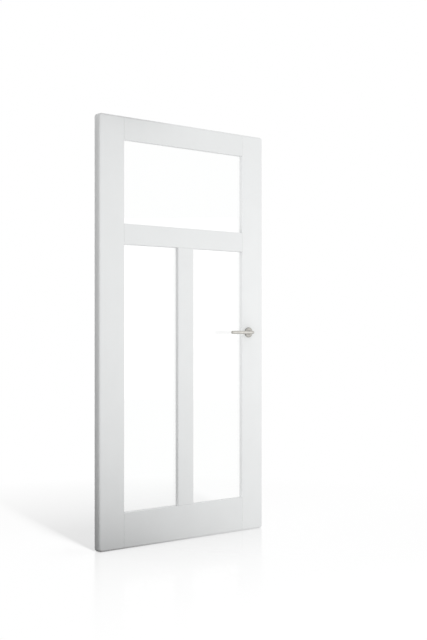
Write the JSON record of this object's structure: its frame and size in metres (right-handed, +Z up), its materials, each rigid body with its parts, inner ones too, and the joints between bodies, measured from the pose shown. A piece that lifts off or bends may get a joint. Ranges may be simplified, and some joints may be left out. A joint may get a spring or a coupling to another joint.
{
  "type": "glazed interior door",
  "caption": "White painted door leaf with a wide clear light above tall lights beside a mullion, splayed back beads, a sprung lever on a round rose and a turn piece behind.",
  "frame": {"origin": "middle of the hinge edge, halfway up the leaf and halfway through its thickness", "axes": "+X across the leaf to the lock edge, -Y out of the front face, +Z up"},
  "size_m": [0.996, 0.116, 1.985],
  "materials": {
    "white_paint": "satin",
    "clear_glass": "polished",
    "satin_nickel": "satin",
    "plated_steel": "satin"
  },
  "bodies": {
    "leaf": {"hinge_stile": "white_paint", "lock_stile": "white_paint", "top_rail": "white_paint", "cross_rail": "white_paint", "bottom_rail": "white_paint", "mullion": "white_paint", "top_bead_low": "white_paint", "top_bead_head": "white_paint", "top_bead_hinge_side": "white_paint", "top_bead_lock_side": "white_paint", "left_bead_low": "white_paint", "left_bead_head": "white_paint", "left_bead_hinge_side": "white_paint", "left_bead_lock_side": "white_paint", "right_bead_low": "white_paint", "right_bead_head": "white_paint", "right_bead_hinge_side": "white_paint", "right_bead_lock_side": "white_paint", "top_glass": "clear_glass", "left_glass": "clear_glass", "right_glass": "clear_glass", "front_rose": "satin_nickel", "back_rose": "satin_nickel", "latch_forend": "plated_steel", "latch_case": "plated_steel", "latch_bolt": "plated_steel"},
    "lever_set": {"front_lever": "satin_nickel", "back_turn": "satin_nickel", "spindle": "plated_steel"}
  },
  "joints": [
    {"name": "lever_turn", "type": "hinge", "parent": "leaf", "child": "lever_set", "pos_m": [0.89, 0, 0.0015], "axis": [0, -1, 0], "range_deg": [0, 45], "stiffness_Nm_per_rad": 1.2, "springref_deg": -28.65}
  ]
}
